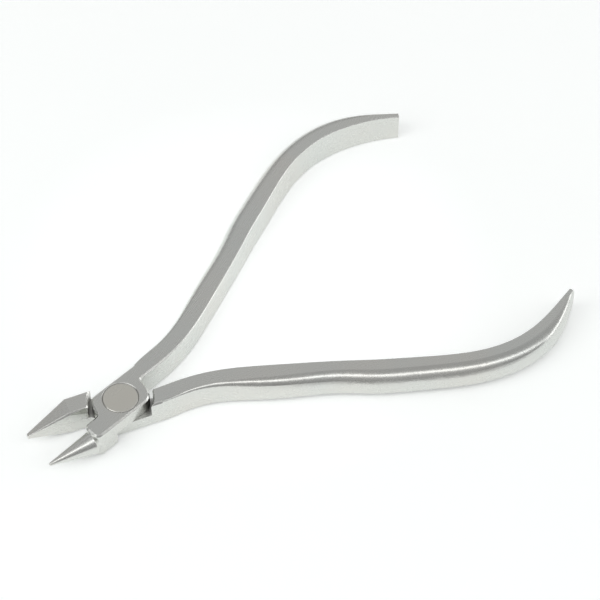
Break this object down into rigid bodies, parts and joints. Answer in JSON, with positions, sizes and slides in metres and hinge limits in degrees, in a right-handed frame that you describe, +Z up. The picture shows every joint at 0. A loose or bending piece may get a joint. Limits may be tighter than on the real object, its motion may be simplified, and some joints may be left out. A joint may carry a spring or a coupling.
{
  "type": "round and pyramid nose pliers",
  "caption": "Plain steel lap-joint pliers with one conical beak, one square pyramid beak, long S-curved handles and a flush round pivot head.",
  "frame": {"origin": "on the pivot axis, at the flat underside that the pliers lie on", "axes": "+X along the mid-line towards the beak tips, +Y towards the pyramid beak lever's handle, +Z up along the pivot axis, out of the pin's large head"},
  "size_m": [0.1349, 0.094, 0.0078],
  "materials": {
    "satin_steel": "satin, finely brushed, hand-finished bevels",
    "pivot_steel": "turned and ground flush, slightly warmer than the levers"
  },
  "bodies": {
    "pyramid_lever": {"pyramid_jaw_lever": "satin_steel", "pivot_pin": "pivot_steel"},
    "cone_lever": {"cone_jaw_lever": "satin_steel"}
  },
  "joints": [
    {"name": "pliers_hinge", "type": "hinge", "parent": "pyramid_lever", "child": "cone_lever", "pos_m": [0, 0, 0.0039], "axis": [0, 0, 1], "range_deg": [-22.4, 15]}
  ]
}
